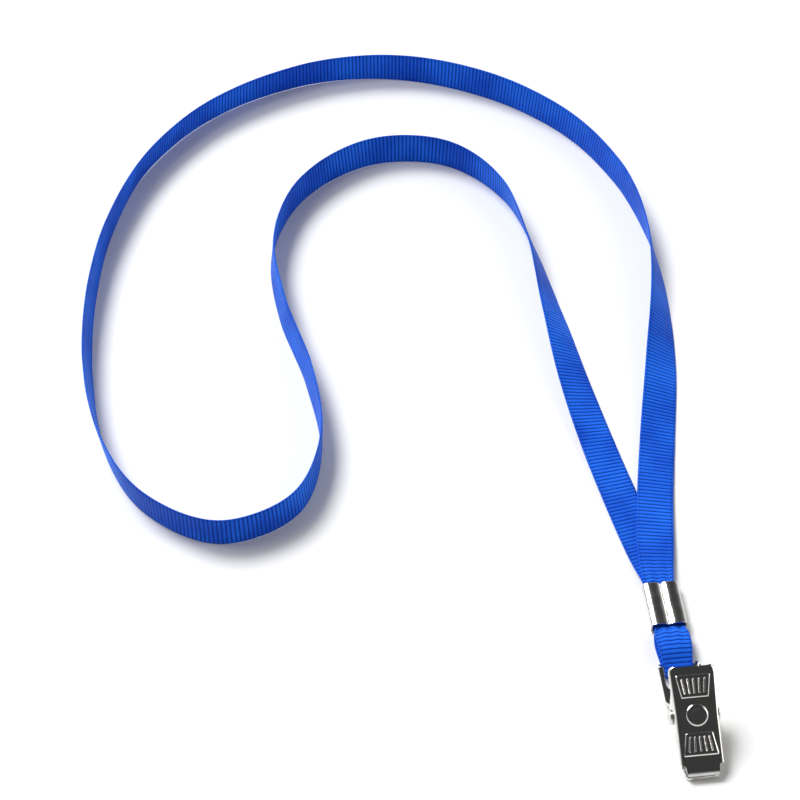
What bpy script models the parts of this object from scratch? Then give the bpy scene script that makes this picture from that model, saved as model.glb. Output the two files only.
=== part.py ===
"""A neck lanyard lying on a table: a flat ribbon loop, a folded metal crimp and a bulldog badge clip.

Units are metres, +Z is up and the table is z = 0. The clip lies along Y with its nose towards -Y,
and the origin is below the middle of the clip, its short ribbon loop and the crimp.
"""

from math import asin, atan2, cos, pi, radians, sin

import bpy
from mathutils import Matrix, Vector

MM = 0.001
GAP = 0.25 * MM

# ribbon
RIBBON_WIDTH = 10.0 * MM
RIBBON_THICK = 0.6 * MM
PINCHED_WIDTH = 8.0 * MM
WINDOW_RIBBON_WIDTH = 7.6 * MM

# clip: shared by both levers
SHEET = 0.55 * MM
CLIP_WIDTH = 11.0 * MM
INNER_WIDTH = CLIP_WIDTH - 2 * SHEET - 2 * GAP
PIVOT_ALONG = 15.0 * MM
PIVOT_OVER_LONG = 5.3 * MM
PIVOT_OVER_SHORT = 3.8 * MM
EAR_TOP = 2.8 * MM
LONG_WALL = 1.9 * MM
SHORT_WALL = 0.8 * MM
NOSE_WIDTH = 8.6 * MM
NOSE_LENGTH = 3.0 * MM
LIP_LENGTH = 0.9 * MM
LIP_RISE = 0.4 * MM
JAW_MEET = LIP_RISE + SHEET / 2 + GAP / 2
JAW_ANGLE = atan2(PIVOT_OVER_LONG - JAW_MEET, PIVOT_ALONG) + atan2(PIVOT_OVER_SHORT - JAW_MEET, PIVOT_ALONG)

LONG_LEVER = 32.5 * MM
SHORT_LEVER = 27.0 * MM
TAIL_FLARE = 0.45 * MM
TAIL_BAR = 2.6 * MM
WIDE_FROM = 20.5 * MM
WIDE_STEP = 0.8 * MM
CORNER = 0.7 * MM
BEND = 0.45 * MM
LEAST_WALL = 0.3 * MM
ROUND_SHARE = 0.8
WINDOW_LENGTH = 4.9 * MM
WINDOW_WIDTH = 8.3 * MM

NOSE_Y = -28.3 * MM
TILT = asin((RIBBON_THICK + GAP) / (LONG_LEVER - 2 * TAIL_BAR))

# pivot and spring
PIN_RADIUS = 1.0 * MM
HOLE_RADIUS = 1.3 * MM
HEAD_RADIUS = 2.0 * MM
HEAD_HEIGHT = 0.9 * MM
WIRE_RADIUS = 0.32 * MM
COIL_RADIUS = 2.1 * MM
COIL_HALF = 3.55 * MM
COIL_TURNS = 9
COIL_SIDES = 12
LEG_REACH = 8.0 * MM

# crimp
CRIMP_WIDTH = 9.6 * MM
CRIMP_LENGTH = 13.0 * MM
CRIMP_SHEET = 0.45 * MM
CRIMP_CREST = 0.75 * MM
CRIMP_BEND = 0.5 * MM
SEAM_HALF = 0.15 * MM
CRIMP_END_Y = 28.7 * MM
CRIMP_START_Y = CRIMP_END_Y - CRIMP_LENGTH
LOWER_LAYER = CRIMP_SHEET + GAP + RIBBON_THICK / 2
UPPER_LAYER = LOWER_LAYER + RIBBON_THICK + GAP
SEAM_MID = UPPER_LAYER + RIBBON_THICK / 2 + GAP + CRIMP_SHEET / 2

# The strap's route from the crimp's upper layer round to its lower layer: x, y, lift above the table
# and roll, in millimetres and degrees. Roll 0 is flat, 90 stands on edge and 180 is flat, turned over.
STRAP_ROUTE = [
    (0.0, 22.3, 1.85, 0),
    (0.0, 29.5, 1.85, 0),
    (1.5, 42.0, 1.4, 0),
    (5.0, 60.0, 0.8, 2),
    (10.0, 82.0, 0.1, 8),
    (15.5, 106.0, 0.0, 24),
    (20.0, 132.0, 0.0, 55),
    (21.5, 158.0, 0.0, 82),
    (17.0, 184.0, 0.0, 94),
    (4.0, 209.0, 0.0, 99),
    (-18.0, 229.0, 0.0, 98),
    (-47.0, 241.0, 0.0, 92),
    (-79.0, 241.0, 0.0, 84),
    (-109.0, 228.0, 0.0, 79),
    (-131.0, 205.0, 0.0, 80),
    (-144.0, 177.0, 0.0, 88),
    (-150.0, 148.0, 0.0, 97),
    (-151.0, 119.0, 0.0, 101),
    (-147.0, 92.0, 0.0, 97),
    (-136.0, 69.0, 0.0, 89),
    (-116.0, 56.0, 0.0, 84),
    (-95.0, 63.0, 0.0, 86),
    (-86.0, 84.0, 0.0, 92),
    (-87.0, 110.0, 0.0, 98),
    (-93.0, 137.0, 0.0, 100),
    (-94.0, 163.0, 0.0, 94),
    (-83.0, 187.0, 0.0, 86),
    (-61.0, 201.0, 0.0, 82),
    (-37.0, 198.0, 0.0, 86),
    (-21.0, 180.0, 0.0, 96),
    (-15.0, 155.0, 0.0, 110),
    (-13.0, 130.0, 0.0, 134),
    (-11.0, 104.0, 0.0, 158),
    (-8.0, 80.0, 0.0, 173),
    (-4.5, 58.0, 0.1, 179),
    (-1.5, 41.0, 0.4, 180),
    (0.0, 29.5, 1.0, 180),
    (0.0, 22.3, 1.0, 180),
]
STRAP_STEP = 6.0 * MM


def clear_scene():
    for old in list(bpy.data.objects):
        bpy.data.objects.remove(old, do_unlink=True)


def collection(name):
    made = bpy.data.collections.new(name)
    bpy.context.scene.collection.children.link(made)
    return made


def material(name, colour, roughness, metallic):
    made = bpy.data.materials.new(name)
    made.use_nodes = True
    shader = made.node_tree.nodes["Principled BSDF"]
    shader.inputs["Base Color"].default_value = (*colour, 1.0)
    shader.inputs["Roughness"].default_value = roughness
    shader.inputs["Metallic"].default_value = metallic
    return made


def mesh_object(name, points, faces, look, group):
    mesh = bpy.data.meshes.new(name)
    mesh.from_pydata([tuple(p) for p in points], [], faces)
    mesh.validate()
    made = bpy.data.objects.new(name, mesh)
    made.data.materials.append(look)
    group.objects.link(made)
    return made


def solidify(obj, thickness):
    shell = obj.modifiers.new("sheet", "SOLIDIFY")
    shell.thickness = thickness
    shell.offset = 0.0
    shell.use_even_offset = True
    shell.use_rim = True


def smooth_route(stations, step):
    """Points a step apart along a Catmull-Rom curve through the stations, each a tuple of numbers."""
    ends = [stations[0]] + list(stations) + [stations[-1]]
    fine = []
    for a, b, c, d in zip(ends, ends[1:], ends[2:], ends[3:]):
        for k in range(24):
            t = k / 24
            fine.append(
                tuple(
                    q + 0.5 * t * (r - p + t * (2 * p - 5 * q + 4 * r - s + t * (3 * (q - r) + s - p)))
                    for p, q, r, s in zip(a, b, c, d)
                )
            )
    fine.append(tuple(stations[-1]))
    along = [0.0]
    for p, q in zip(fine, fine[1:]):
        along.append(along[-1] + (Vector(q[:3]) - Vector(p[:3])).length)
    count = max(2, round(along[-1] / step))
    out = []
    k = 0
    for i in range(count + 1):
        want = along[-1] * i / count
        while k < len(fine) - 2 and along[k + 1] < want:
            k += 1
        t = (want - along[k]) / max(along[k + 1] - along[k], 1e-12)
        out.append(tuple(p + t * (q - p) for p, q in zip(fine[k], fine[k + 1])))
    return out


def strap_stations():
    """The strap's stations in metres: x, y, z of the ribbon's middle, roll in radians and width."""
    out = []
    for x, y, lift, roll in STRAP_ROUTE:
        turn = radians(roll)
        rest = RIBBON_WIDTH / 2 * abs(sin(turn)) + RIBBON_THICK / 2 * abs(cos(turn))
        inside = y * MM < CRIMP_END_Y + 2 * MM
        height = lift * MM if inside else rest + max(lift * MM - RIBBON_THICK / 2, 0.0)
        width = PINCHED_WIDTH if inside else RIBBON_WIDTH
        out.append((x * MM, y * MM, height, turn, width))
    return out


def flat_strip(name, rows, look, group):
    """A ribbon through rows of (middle, across, width), as an open strip made solid."""
    points, faces = [], []
    columns = 2
    for middle, across, width in rows:
        for k in range(columns + 1):
            points.append(middle + across * width * (k / columns - 0.5))
    for i in range(len(rows) - 1):
        for k in range(columns):
            a = i * (columns + 1) + k
            faces.append((a, a + 1, a + columns + 2, a + columns + 1))
    made = mesh_object(name, points, faces, look, group)
    solidify(made, RIBBON_THICK)
    return made


def make_strap(look, group):
    route = smooth_route(strap_stations(), STRAP_STEP)
    rows = []
    for i, (x, y, z, roll, width) in enumerate(route):
        before, after = route[max(i - 1, 0)], route[min(i + 1, len(route) - 1)]
        heading = Vector((after[0] - before[0], after[1] - before[1], 0.0)).normalized()
        side = Vector((heading.y, -heading.x, 0.0))
        across = cos(roll) * side - sin(roll) * Vector((0.0, 0.0, 1.0))
        rows.append((Vector((x, y, z)), across, width))
    return flat_strip("neck_strap", rows, look, group)


def lever_frame():
    """Maps a long lever's (across, along, over) to the world: its nose on the table, its tail raised."""
    return Matrix.Translation((0.0, NOSE_Y, SHEET / 2)) @ Matrix.Rotation(TILT, 4, "X")


def pivot_point():
    return lever_frame() @ Vector((0.0, PIVOT_ALONG, PIVOT_OVER_LONG))


def short_lever_frame():
    """Maps the short lever's (across, along, over) to the world: it faces the long lever over the pivot."""
    turn = Matrix.Rotation(TILT + JAW_ANGLE, 4, "X")
    flip = Matrix.Scale(-1.0, 4, (0.0, 0.0, 1.0))
    back = Matrix.Translation((0.0, -PIVOT_ALONG, -PIVOT_OVER_SHORT))
    return Matrix.Translation(pivot_point()) @ turn @ flip @ back


def make_loop(look, group):
    """The short loop: from the crimp's upper layer, over the tail bar, through the window and back."""
    frame = lever_frame()
    bar = LONG_LEVER - TAIL_BAR
    reach = SHEET / 2 + GAP + RIBBON_THICK / 2
    start_y = CRIMP_START_Y + CRIMP_LENGTH / 2 - 2 * GAP
    stations = [
        (start_y, UPPER_LAYER, PINCHED_WIDTH),
        (CRIMP_START_Y - 0.5 * MM, UPPER_LAYER, PINCHED_WIDTH),
        (CRIMP_START_Y - 3.5 * MM, UPPER_LAYER + 1.1 * MM, 9.0 * MM),
        (CRIMP_START_Y - 7.5 * MM, UPPER_LAYER + 1.5 * MM, 8.8 * MM),
    ]
    for along, over in (
        (LONG_LEVER + 0.2 * MM, reach + 0.5 * MM),
        (bar + 1.2 * MM, reach + 0.1 * MM),
        (bar + 0.1 * MM, reach),
    ):
        world = frame @ Vector((0.0, along, over))
        stations.append((world.y, world.z, WINDOW_RIBBON_WIDTH))
    for k in range(1, 6):
        turn = pi * k / 6
        world = frame @ Vector((0.0, bar + 0.1 * MM - reach * sin(turn), reach * cos(turn)))
        stations.append((world.y, world.z, WINDOW_RIBBON_WIDTH))
    rest = RIBBON_THICK / 2
    stations += [
        (NOSE_Y + bar + 0.4 * MM, rest, WINDOW_RIBBON_WIDTH),
        (NOSE_Y + LONG_LEVER + 1.0 * MM, rest, 8.2 * MM),
        (CRIMP_START_Y - 5.5 * MM, rest, 9.2 * MM),
        (CRIMP_START_Y - 2.5 * MM, rest + 0.2 * MM, 8.8 * MM),
        (CRIMP_START_Y - 0.5 * MM, LOWER_LAYER, PINCHED_WIDTH),
        (start_y, LOWER_LAYER, PINCHED_WIDTH),
    ]
    rows = [(Vector((0.0, y, z)), Vector((1.0, 0.0, 0.0)), width) for y, z, width in stations]
    return flat_strip("clip_loop", rows, look, group)


def ear_height(along, pivot_over, tail_base, nose_base, wall):
    """The side wall's height over the sheet: a low wall that rises to a rounded ear at the pivot."""
    off = along - PIVOT_ALONG
    base = tail_base if off > 0 else nose_base
    off = abs(off)
    round_end = EAR_TOP * ROUND_SHARE
    if off <= round_end:
        return pivot_over + (EAR_TOP**2 - off**2) ** 0.5
    shoulder = pivot_over + (EAR_TOP**2 - round_end**2) ** 0.5
    share = min((off - round_end) / (base - round_end), 1.0)
    foot = 1.0 - ROUND_SHARE
    fall = share if share < ROUND_SHARE else ROUND_SHARE + foot * sin((share - ROUND_SHARE) / foot * pi / 2)
    return shoulder + (wall - shoulder) * fall


def lever(name, length, half_widths, ear, windowed, frame, look, group):
    """A stamped lever: a plate with side walls of varying height and a narrow nose with a bent lip.

    half_widths(along) is half the outer width. ear is the pivot's height over the sheet, how far the ear
    reaches from the pivot to the tail and to the nose, and the height of the wall beside it.
    """
    pivot_over, tail_base, nose_base, wall = ear
    mid = SHEET / 2
    window_end = length - TAIL_BAR
    window_start = window_end - WINDOW_LENGTH
    alongs = [0.0, LIP_LENGTH, NOSE_LENGTH]
    alongs += [PIVOT_ALONG - nose_base * share for share in (1.0, 0.94, 0.88, 0.7)]
    alongs += [PIVOT_ALONG + EAR_TOP * share for share in (-0.8, -0.6, -0.3, 0.0, 0.3, 0.6, 0.8)]
    alongs += [PIVOT_ALONG + tail_base * share for share in (0.7, 0.88, 0.94, 1.0)]
    if windowed:
        alongs += [a for a in (WIDE_FROM, WIDE_FROM + WIDE_STEP) if a > alongs[-1]]
        alongs += [window_start, window_end, length - CORNER, length]
    else:
        alongs += [length - 3 * MM, length]
    plate = [-1.0, -0.5, 0.0, 0.5, 1.0]
    points, index = [], {}

    def put(key, across, along, over):
        index[key] = len(points)
        points.append(frame @ Vector((across, along, over)))

    for i, along in enumerate(alongs):
        over = LIP_RISE if i == 0 else 0.0
        half = half_widths(along) - mid
        in_nose = along < NOSE_LENGTH - 0.01 * MM
        wide = WINDOW_WIDTH / 2 if windowed and along > window_start - 0.01 * MM else NOSE_WIDTH / 2 - BEND
        flat = NOSE_WIDTH / 2 if in_nose else min(wide, half - BEND)
        for k, share in enumerate(plate):
            put((i, 2 + k), share * flat, along, over)
        if in_nose:
            continue
        height = max(ear_height(along, pivot_over, tail_base, nose_base, wall), BEND + LEAST_WALL)
        if along > length - 0.01 * MM:
            height = BEND + LEAST_WALL
        for sign, low, high in ((-1, 1, 0), (1, 7, 8)):
            put((i, low), sign * half, along, BEND)
            put((i, high), sign * half, along, height)
    faces = []
    for i in range(len(alongs) - 1):
        open_row = windowed and abs(alongs[i] - window_start) < 0.01 * MM
        for k in range(8):
            corners = [(i, k), (i, k + 1), (i + 1, k + 1), (i + 1, k)]
            if open_row and 2 <= k <= 5:
                continue
            if all(c in index for c in corners):
                faces.append([index[c] for c in corners])
    made = mesh_object(name, points, faces, look, group)
    solidify(made, SHEET)
    return made


def cylinder(name, radius, length, centre, group, look=None, segments=24):
    bpy.ops.mesh.primitive_cylinder_add(
        vertices=segments, radius=radius, depth=length, location=centre, rotation=(0.0, pi / 2, 0.0)
    )
    made = bpy.context.object
    made.name = name
    for old in list(made.users_collection):
        old.objects.unlink(made)
    group.objects.link(made)
    if look:
        made.data.materials.append(look)
    return made


def drill(obj, cutter):
    cut = obj.modifiers.new("pivot_hole", "BOOLEAN")
    cut.operation = "DIFFERENCE"
    cut.solver = "EXACT"
    cut.object = cutter


def make_rivet(look, group):
    """The axle with a domed head at each end, turned about X."""
    reach = CLIP_WIDTH / 2 + GAP
    profile = [(0.0, reach + HEAD_HEIGHT)]
    for k in range(1, 5):
        turn = pi / 2 * k / 4
        profile.append((HEAD_RADIUS * sin(turn), reach + 0.25 * MM + (HEAD_HEIGHT - 0.25 * MM) * cos(turn)))
    profile += [(HEAD_RADIUS, reach), (PIN_RADIUS, reach)]
    profile += [(r, -h) for r, h in reversed(profile)]
    points = [Vector((r, 0.0, h)) for r, h in profile]
    mesh = bpy.data.meshes.new("pivot_rivet")
    mesh.from_pydata(points, [(i, i + 1) for i in range(len(points) - 1)], [])
    made = bpy.data.objects.new("pivot_rivet", mesh)
    made.data.materials.append(look)
    group.objects.link(made)
    turn = made.modifiers.new("turned", "SCREW")
    turn.axis = "Z"
    turn.steps = 20
    turn.render_steps = 20
    turn.use_merge_vertices = True
    turn.merge_threshold = 0.00001
    made.rotation_euler = (0.0, pi / 2, 0.0)
    made.location = pivot_point()
    return made


def make_spring(look, group):
    """A coil round the axle with a leg against each lever, both towards the tails."""
    pivot = pivot_point()
    low = lever_frame()
    high = short_lever_frame()
    clear = SHEET / 2 + GAP + WIRE_RADIUS
    leg_along = PIVOT_ALONG + LEG_REACH

    def leg_end(frame, side):
        return frame @ Vector((side * COIL_HALF, leg_along, clear))

    start_leg, end_leg = leg_end(low, -1), leg_end(high, 1)

    def tangent_angle(end, turn_sign):
        away = Vector((end.y - pivot.y, end.z - pivot.z))
        return atan2(away.y, away.x) + turn_sign * (pi / 2 - asin(COIL_RADIUS / away.length))

    first = tangent_angle(start_leg, -1)
    last = tangent_angle(end_leg, 1)
    while last > first:
        last -= 2 * pi
    sweep = last - first - 2 * pi * COIL_TURNS
    count = round(abs(sweep) / (2 * pi) * COIL_SIDES)
    points = [start_leg]
    for k in range(count + 1):
        turn = first + sweep * k / count
        across = -COIL_HALF + 2 * COIL_HALF * k / count
        points.append(
            Vector((across, pivot.y + COIL_RADIUS * cos(turn), pivot.z + COIL_RADIUS * sin(turn)))
        )
    points.append(end_leg)
    curve = bpy.data.curves.new("torsion_spring", "CURVE")
    curve.dimensions = "3D"
    curve.bevel_depth = WIRE_RADIUS
    curve.bevel_resolution = 2
    curve.use_fill_caps = True
    spline = curve.splines.new("POLY")
    spline.points.add(len(points) - 1)
    for spot, place in zip(spline.points, points):
        spot.co = (*place, 1.0)
    made = bpy.data.objects.new("torsion_spring", curve)
    curve.materials.append(look)
    group.objects.link(made)
    return made


def make_crimp(look, group):
    """Folded sheet: a flat back on the table and two rounded bars that meet at a seam on top."""
    half = CRIMP_WIDTH / 2 - CRIMP_SHEET / 2
    base = CRIMP_SHEET / 2
    bar = (half - SEAM_HALF) / 2
    profile = [(SEAM_HALF, SEAM_MID)]
    for k in range(1, 7):
        turn = pi * k / 7
        profile.append((SEAM_HALF + bar - bar * cos(turn), SEAM_MID + CRIMP_CREST * sin(turn)))
    profile += [(half, SEAM_MID - 0.1 * MM), (half, base + CRIMP_BEND), (half - CRIMP_BEND, base)]
    outline = profile + [(-x, z) for x, z in reversed(profile)]
    points = [Vector((x, y, z)) for y in (CRIMP_START_Y, CRIMP_END_Y) for x, z in outline]
    n = len(outline)
    faces = [(i, i + 1, n + i + 1, n + i) for i in range(n - 1)]
    made = mesh_object("crimp_sleeve", points, faces, look, group)
    solidify(made, CRIMP_SHEET)
    return made


def build():
    clear_scene()
    group = collection("neck_lanyard")
    cutters = collection("cutters")
    blue = material("blue_ribbon", (0.01, 0.08, 0.62), 0.55, 0.0)
    nickel = material("nickel_plate", (0.72, 0.70, 0.67), 0.16, 1.0)
    steel = material("spring_steel", (0.60, 0.52, 0.40), 0.25, 1.0)

    make_strap(blue, group)
    make_loop(blue, group)
    make_crimp(nickel, group)

    def long_half(along):
        wide = along > WIDE_FROM + WIDE_STEP / 2
        return (CLIP_WIDTH if wide else INNER_WIDTH) / 2

    def short_half(along):
        past_pivot = max(along - PIVOT_ALONG, 0.0) / (SHORT_LEVER - PIVOT_ALONG)
        return CLIP_WIDTH / 2 + TAIL_FLARE * past_pivot

    long_ear = (PIVOT_OVER_LONG, 4.8 * MM, 4.6 * MM, LONG_WALL)
    short_ear = (PIVOT_OVER_SHORT, 6.2 * MM, 5.6 * MM, SHORT_WALL)
    long_one = lever("long_lever", LONG_LEVER, long_half, long_ear, True, lever_frame(), nickel, group)
    short_one = lever(
        "short_lever", SHORT_LEVER, short_half, short_ear, False, short_lever_frame(), nickel, group
    )
    hole = cylinder("pivot_cutter", HOLE_RADIUS, 2 * CLIP_WIDTH, pivot_point(), cutters)
    hole.hide_render = True
    hole.display_type = "WIRE"
    for obj in (long_one, short_one):
        drill(obj, hole)
    make_rivet(steel, group)
    make_spring(steel, group)


build()
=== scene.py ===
"""Looks of a neck lanyard on a table: a grosgrain ribbon loop, a folded metal crimp and a badge clip.

Units are metres, +Z is up, the table is z = 0 and the clip lies along Y with its nose towards -Y,
as in the CAD. Sizes written in millimetres are multiplied by MM.
"""

from math import asin, atan2, ceil, cos, exp, hypot, pi, radians, sin, tau

import bpy
from mathutils import Matrix, Vector, noise


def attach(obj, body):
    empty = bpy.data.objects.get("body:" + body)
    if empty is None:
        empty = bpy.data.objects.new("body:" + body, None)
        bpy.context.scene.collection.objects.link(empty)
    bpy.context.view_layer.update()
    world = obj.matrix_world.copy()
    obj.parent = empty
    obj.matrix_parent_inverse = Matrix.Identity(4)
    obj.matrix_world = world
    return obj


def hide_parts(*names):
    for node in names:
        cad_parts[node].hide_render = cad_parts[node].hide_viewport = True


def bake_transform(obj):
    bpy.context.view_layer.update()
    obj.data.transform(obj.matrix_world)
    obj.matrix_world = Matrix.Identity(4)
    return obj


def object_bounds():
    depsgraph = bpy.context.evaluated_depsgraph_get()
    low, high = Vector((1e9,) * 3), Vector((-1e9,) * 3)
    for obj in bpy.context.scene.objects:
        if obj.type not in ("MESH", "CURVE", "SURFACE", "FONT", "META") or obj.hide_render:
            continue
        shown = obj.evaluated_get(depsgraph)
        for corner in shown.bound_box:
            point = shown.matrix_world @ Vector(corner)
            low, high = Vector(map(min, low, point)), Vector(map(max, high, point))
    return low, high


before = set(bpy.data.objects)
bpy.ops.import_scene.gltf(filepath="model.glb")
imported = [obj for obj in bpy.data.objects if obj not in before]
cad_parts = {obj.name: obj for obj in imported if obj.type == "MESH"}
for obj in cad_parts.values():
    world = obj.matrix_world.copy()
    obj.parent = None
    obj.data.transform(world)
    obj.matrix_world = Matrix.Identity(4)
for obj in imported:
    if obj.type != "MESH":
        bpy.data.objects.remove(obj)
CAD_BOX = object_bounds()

MM = 0.001
X_AXIS = Vector((1.0, 0.0, 0.0))
Z_AXIS = Vector((0.0, 0.0, 1.0))

# The CAD's sizes, which the pieces are built around
GAP = 0.25 * MM
RIBBON_WIDTH = 10.0 * MM
RIBBON_THICK = 0.6 * MM
PINCHED_WIDTH = 8.0 * MM
WINDOW_RIBBON_WIDTH = 7.6 * MM
SHEET = 0.55 * MM
CLIP_WIDTH = 11.0 * MM
INNER_WIDTH = CLIP_WIDTH - 2 * SHEET - 2 * GAP
PIVOT_ALONG = 15.0 * MM
PIVOT_OVER_LONG = 5.3 * MM
PIVOT_OVER_SHORT = 3.8 * MM
EAR_TOP = 2.8 * MM
LIP_LENGTH = 0.9 * MM
LIP_RISE = 0.4 * MM
JAW_MEET = LIP_RISE + SHEET / 2 + GAP / 2
JAW_ANGLE = atan2(PIVOT_OVER_LONG - JAW_MEET, PIVOT_ALONG)
JAW_ANGLE += atan2(PIVOT_OVER_SHORT - JAW_MEET, PIVOT_ALONG)
LONG_LEVER = 32.5 * MM
SHORT_LEVER = 27.0 * MM
TAIL_FLARE = 0.45 * MM
TAIL_BAR = 2.6 * MM
NOSE_Y = -28.3 * MM
TILT = asin((RIBBON_THICK + GAP) / (LONG_LEVER - 2 * TAIL_BAR))
CRIMP_WIDTH = 9.6 * MM
CRIMP_LENGTH = 13.0 * MM
CRIMP_SHEET = 0.45 * MM
CRIMP_END_Y = 28.7 * MM
CRIMP_START_Y = CRIMP_END_Y - CRIMP_LENGTH
LOWER_LAYER = CRIMP_SHEET + GAP + RIBBON_THICK / 2
UPPER_LAYER = LOWER_LAYER + RIBBON_THICK + GAP
SEAM_MID = UPPER_LAYER + RIBBON_THICK / 2 + GAP + CRIMP_SHEET / 2

# The strap's route in the CAD: x, y, lift above the table and roll, in millimetres and degrees.
# Roll 0 is flat, 90 stands on edge and 180 is flat, turned over.
STRAP_ROUTE = [
    (0.0, 22.3, 1.85, 0),
    (0.0, 29.5, 1.85, 0),
    (1.5, 42.0, 1.4, 0),
    (5.0, 60.0, 0.8, 2),
    (10.0, 82.0, 0.1, 8),
    (15.5, 106.0, 0.0, 24),
    (20.0, 132.0, 0.0, 55),
    (21.5, 158.0, 0.0, 82),
    (17.0, 184.0, 0.0, 94),
    (4.0, 209.0, 0.0, 99),
    (-18.0, 229.0, 0.0, 98),
    (-47.0, 241.0, 0.0, 92),
    (-79.0, 241.0, 0.0, 84),
    (-109.0, 228.0, 0.0, 79),
    (-131.0, 205.0, 0.0, 80),
    (-144.0, 177.0, 0.0, 88),
    (-150.0, 148.0, 0.0, 97),
    (-151.0, 119.0, 0.0, 101),
    (-147.0, 92.0, 0.0, 97),
    (-136.0, 69.0, 0.0, 89),
    (-116.0, 56.0, 0.0, 84),
    (-95.0, 63.0, 0.0, 86),
    (-86.0, 84.0, 0.0, 92),
    (-87.0, 110.0, 0.0, 98),
    (-93.0, 137.0, 0.0, 100),
    (-94.0, 163.0, 0.0, 94),
    (-83.0, 187.0, 0.0, 86),
    (-61.0, 201.0, 0.0, 82),
    (-37.0, 198.0, 0.0, 86),
    (-21.0, 180.0, 0.0, 96),
    (-15.0, 155.0, 0.0, 110),
    (-13.0, 130.0, 0.0, 134),
    (-11.0, 104.0, 0.0, 158),
    (-8.0, 80.0, 0.0, 173),
    (-4.5, 58.0, 0.1, 179),
    (-1.5, 41.0, 0.4, 180),
    (0.0, 29.5, 1.0, 180),
    (0.0, 22.3, 1.0, 180),
]
CURVE_STEPS = 24  # of the smooth curve between two stations
PATH_EVERY = 5  # rows of the ribbon between two points of the cord's path

# The ribbon's weave. Each row of a rib is (place along it, how raised), both from 0 to 1, and the
# columns and the selvedge are shares of the half width.
RIB_PITCH = 1.2 * MM
RIB_HEIGHT = 0.10 * MM
WEAVE_HALF = 0.18 * MM
RIB_ROWS = ((0.0, 0.0), (0.2, 0.85), (0.5, 1.0), (0.8, 0.85))
RIBBON_COLUMNS = (0.0, 0.2, 0.4, 0.6, 0.78, 0.875, 0.90, 0.955, 1.0)
SELVEDGE = 0.88
SELVEDGE_RIB = 0.35
SELVEDGE_BEAD = 0.05 * MM
SCALLOP = 0.006

# How the ribbon strays from its smooth route. A rate says how fast the stray changes, per metre, and
# the creases are worked out for the rows nearest the crimp only.
ROLL_DRIFT, ROLL_RATE = radians(5.0), 22.0
SWAY, SWAY_RATE = 1.0 * MM, 17.0
RIPPLE, RIPPLE_RATE = 0.10 * MM, 90.0
CUP, CUP_RATE = 0.22 * MM, 40.0
CREASE_HEIGHT = 0.85 * MM
CREASE_FADE = 5.0 * MM
CREASED_ROWS = 300
LOOP_BELLY = 0.5 * MM

# The visual levers
PLATE_SHEET = 0.5 * MM
FOLD = 0.55 * MM
NOSE_HALF = 4.3 * MM
NOSE_LENGTH = 3.0 * MM
NOSE_TAPER = 0.35 * MM
NOSE_CORNER = 0.9 * MM
TAIL_CORNER = 1.6 * MM
TAIL_CORNER_SHARE = 0.55
WINDOW_LENGTH = 4.9 * MM
WINDOW_HALF = 4.15 * MM
WINDOW_FRONT_CORNER = 2.4 * MM
WINDOW_BACK_CORNER = 0.8 * MM
WINDOW_FRAME = 0.35 * MM
LONG_WALL = 1.9 * MM
SHORT_WALL = 0.8 * MM
EAR_ROUND = EAR_TOP * 0.86
EAR_FILLET = 1.1 * MM
TAIL_ROUND = 1.8 * MM
RIVET_BOSS = 0.10 * MM
RIVET_BOSS_RADIUS = 2.65 * MM
WIDE_FROM = 20.5 * MM
WIDE_STEP = 1.0 * MM

# The levers' grids: counts across, and distances in millimetres from the nose, the window and the tail
STRIP_COLUMNS = 6
FOLD_STEPS = 5
WALL_STEPS = 14
NOSE_ROWS = (0.0, 0.05, 0.12, 0.22, 0.35, 0.5, 0.7, 0.9, 1.2)
WINDOW_FRONT_ROWS = (0.0, 0.05, 0.15, 0.3, 0.5, 0.8, 1.1, 1.5, 2.0)
WINDOW_BACK_ROWS = (0.8, 0.5, 0.3, 0.15, 0.05, 0.0)
TAIL_ROWS = (1.8, 1.4, 1.0, 0.7, 0.45, 0.25, 0.12, 0.04, 0.0)

# The short lever's stamping. Each pad is (wide end, narrow end), as distances from the nose.
STAMP_DEPTH = 0.26 * MM
STAMP_SLOPE = 0.18 * MM
PADS = ((5.2 * MM, 10.6 * MM), (24.8 * MM, 19.4 * MM))
GROOVES = 5
GROOVE_HALF = 0.34 * MM
GROOVE_DEPTH = 0.9
GROOVE_MARGIN = 0.75 * MM
BUTTON_ALONG = 15.0 * MM
BUTTON_RADIUS = 2.7 * MM
BUTTON_DISH = 1.9 * MM

# The long lever's bead
BEAD_ALONG = 5.2 * MM
BEAD_HALF_LENGTH = 3.0 * MM
BEAD_HALF_WIDTH = 0.55 * MM
BEAD_HEIGHT = 0.16 * MM

# The rivet and the spring
PIN_RADIUS = 1.0 * MM
HEAD_RADIUS = 2.0 * MM
HEAD_HEIGHT = 0.9 * MM
HEAD_RIM = 0.28 * MM
HEAD_EDGE = 0.08 * MM
HEAD_DIMPLE = 0.32 * MM
DIMPLE_RADIUS = 0.85 * MM
WIRE_RADIUS = 0.32 * MM
COIL_RADIUS = 2.1 * MM
COIL_HALF = 3.55 * MM
COIL_TURNS = 9
COIL_SIDES = 28
LEG_REACH = 8.0 * MM
LEG_ARC = radians(40)
LEG_ARC_STEPS = 8

# The visual crimp
CRIMP_SEAM = 0.27 * MM
CRIMP_CREST = 0.75 * MM
CRIMP_BEND = 0.6 * MM
CRIMP_ROWS = 40
PRESS_MARK = 0.03 * MM
PRESS_MARKS = 3
DING = 0.010 * MM

# The photograph's view
VIEW_AZIMUTH = -6.0
VIEW_ELEVATION = 50.0
VIEW_LENS = 85.0
VIEW_DISTANCE = 0.54
VIEW_TARGET = (-0.062, 0.098, 0.004)

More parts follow.
